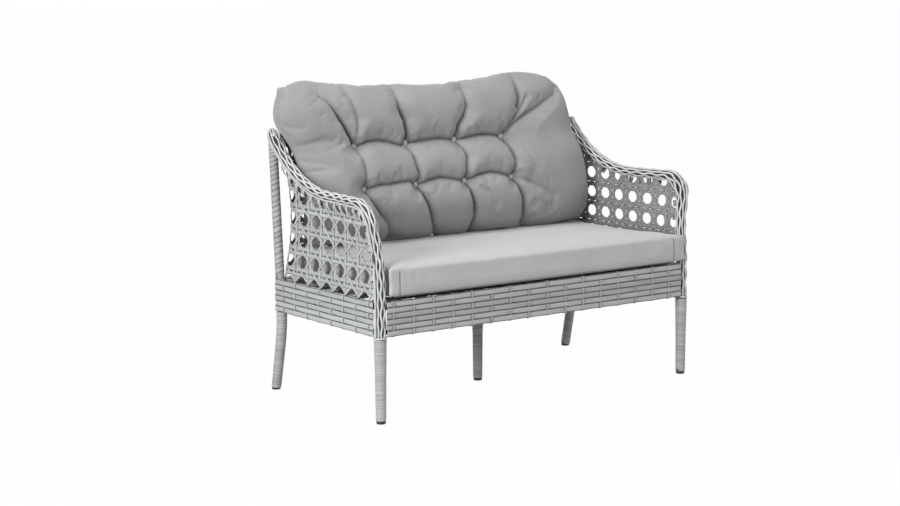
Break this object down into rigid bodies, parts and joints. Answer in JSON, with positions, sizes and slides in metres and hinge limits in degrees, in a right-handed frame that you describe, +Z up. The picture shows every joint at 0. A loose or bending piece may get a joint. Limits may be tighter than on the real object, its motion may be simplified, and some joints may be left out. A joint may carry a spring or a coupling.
{
  "type": "rattan garden sofa",
  "caption": "Two-seat garden sofa with a bent tube frame, open cane-weave sides and back, a boxed seat cushion and a tufted back cushion.",
  "frame": {"origin": "on the floor in the middle of the sofa's own box", "axes": "+X to the viewer's right along the sofa, -Y towards the front, +Z up"},
  "size_m": [1.2856, 0.6588, 0.986],
  "materials": {
    "frame_tube": "powder-coated tube, hidden under the weave",
    "foot_plastic": "moulded, matte black",
    "cane": "flat synthetic cane strip, light grey, satin",
    "braid": "round synthetic cane strand, plaited, light grey",
    "cushion_fabric": "plain-woven outdoor fabric, mid grey"
  },
  "bodies": {
    "frame": {"back_post_left": "frame_tube", "back_post_right": "frame_tube", "arm_hoop_left": "frame_tube", "arm_hoop_right": "frame_tube", "back_top_rail": "frame_tube", "seat_rail_front": "frame_tube", "seat_rail_back": "frame_tube", "seat_rail_left": "frame_tube", "seat_rail_right": "frame_tube", "apron_rail_front": "frame_tube", "apron_rail_back": "frame_tube", "apron_rail_left": "frame_tube", "apron_rail_right": "frame_tube", "centre_rail": "frame_tube", "centre_leg": "frame_tube", "front_leg_left": "frame_tube", "front_leg_right": "frame_tube", "foot_cap_front_left": "foot_plastic", "foot_cap_front_right": "foot_plastic", "foot_cap_back_left": "foot_plastic", "foot_cap_back_right": "foot_plastic", "foot_cap_centre": "foot_plastic", "leg_wrap_front_left": "cane", "leg_wrap_front_right": "cane", "leg_wrap_back_left": "cane", "leg_wrap_back_right": "cane", "leg_wrap_centre": "cane", "post_wrap_left": "cane", "post_wrap_right": "cane", "apron_front": "cane", "apron_left": "cane", "apron_right": "cane", "apron_back": "cane", "side_net_left": "cane", "side_net_right": "cane", "back_net": "cane", "seat_deck": "cane", "leg_collar_left": "braid", "leg_collar_right": "braid", "back_braid": "braid", "arm_braid_left": "braid", "arm_braid_right": "braid"},
    "seat_cushion": {"seat_cushion": "cushion_fabric"},
    "back_cushion": {"back_cushion": "cushion_fabric", "button_front_1_1": "cushion_fabric", "button_rear_1_1": "cushion_fabric", "button_front_1_2": "cushion_fabric", "button_rear_1_2": "cushion_fabric", "button_front_1_3": "cushion_fabric", "button_rear_1_3": "cushion_fabric", "button_front_1_4": "cushion_fabric", "button_rear_1_4": "cushion_fabric", "button_front_2_1": "cushion_fabric", "button_rear_2_1": "cushion_fabric", "button_front_2_2": "cushion_fabric", "button_rear_2_2": "cushion_fabric", "button_front_2_3": "cushion_fabric", "button_rear_2_3": "cushion_fabric", "button_front_2_4": "cushion_fabric", "button_rear_2_4": "cushion_fabric"}
  },
  "joints": [
    {"name": "seat_cushion_lift", "type": "slide", "parent": "frame", "child": "seat_cushion", "axis": [0, 0, 1], "range_m": [0, 0.47]},
    {"name": "back_cushion_lift", "type": "slide", "parent": "seat_cushion", "child": "back_cushion", "axis": [0, 0, 1], "range_m": [0, 0.42]}
  ]
}
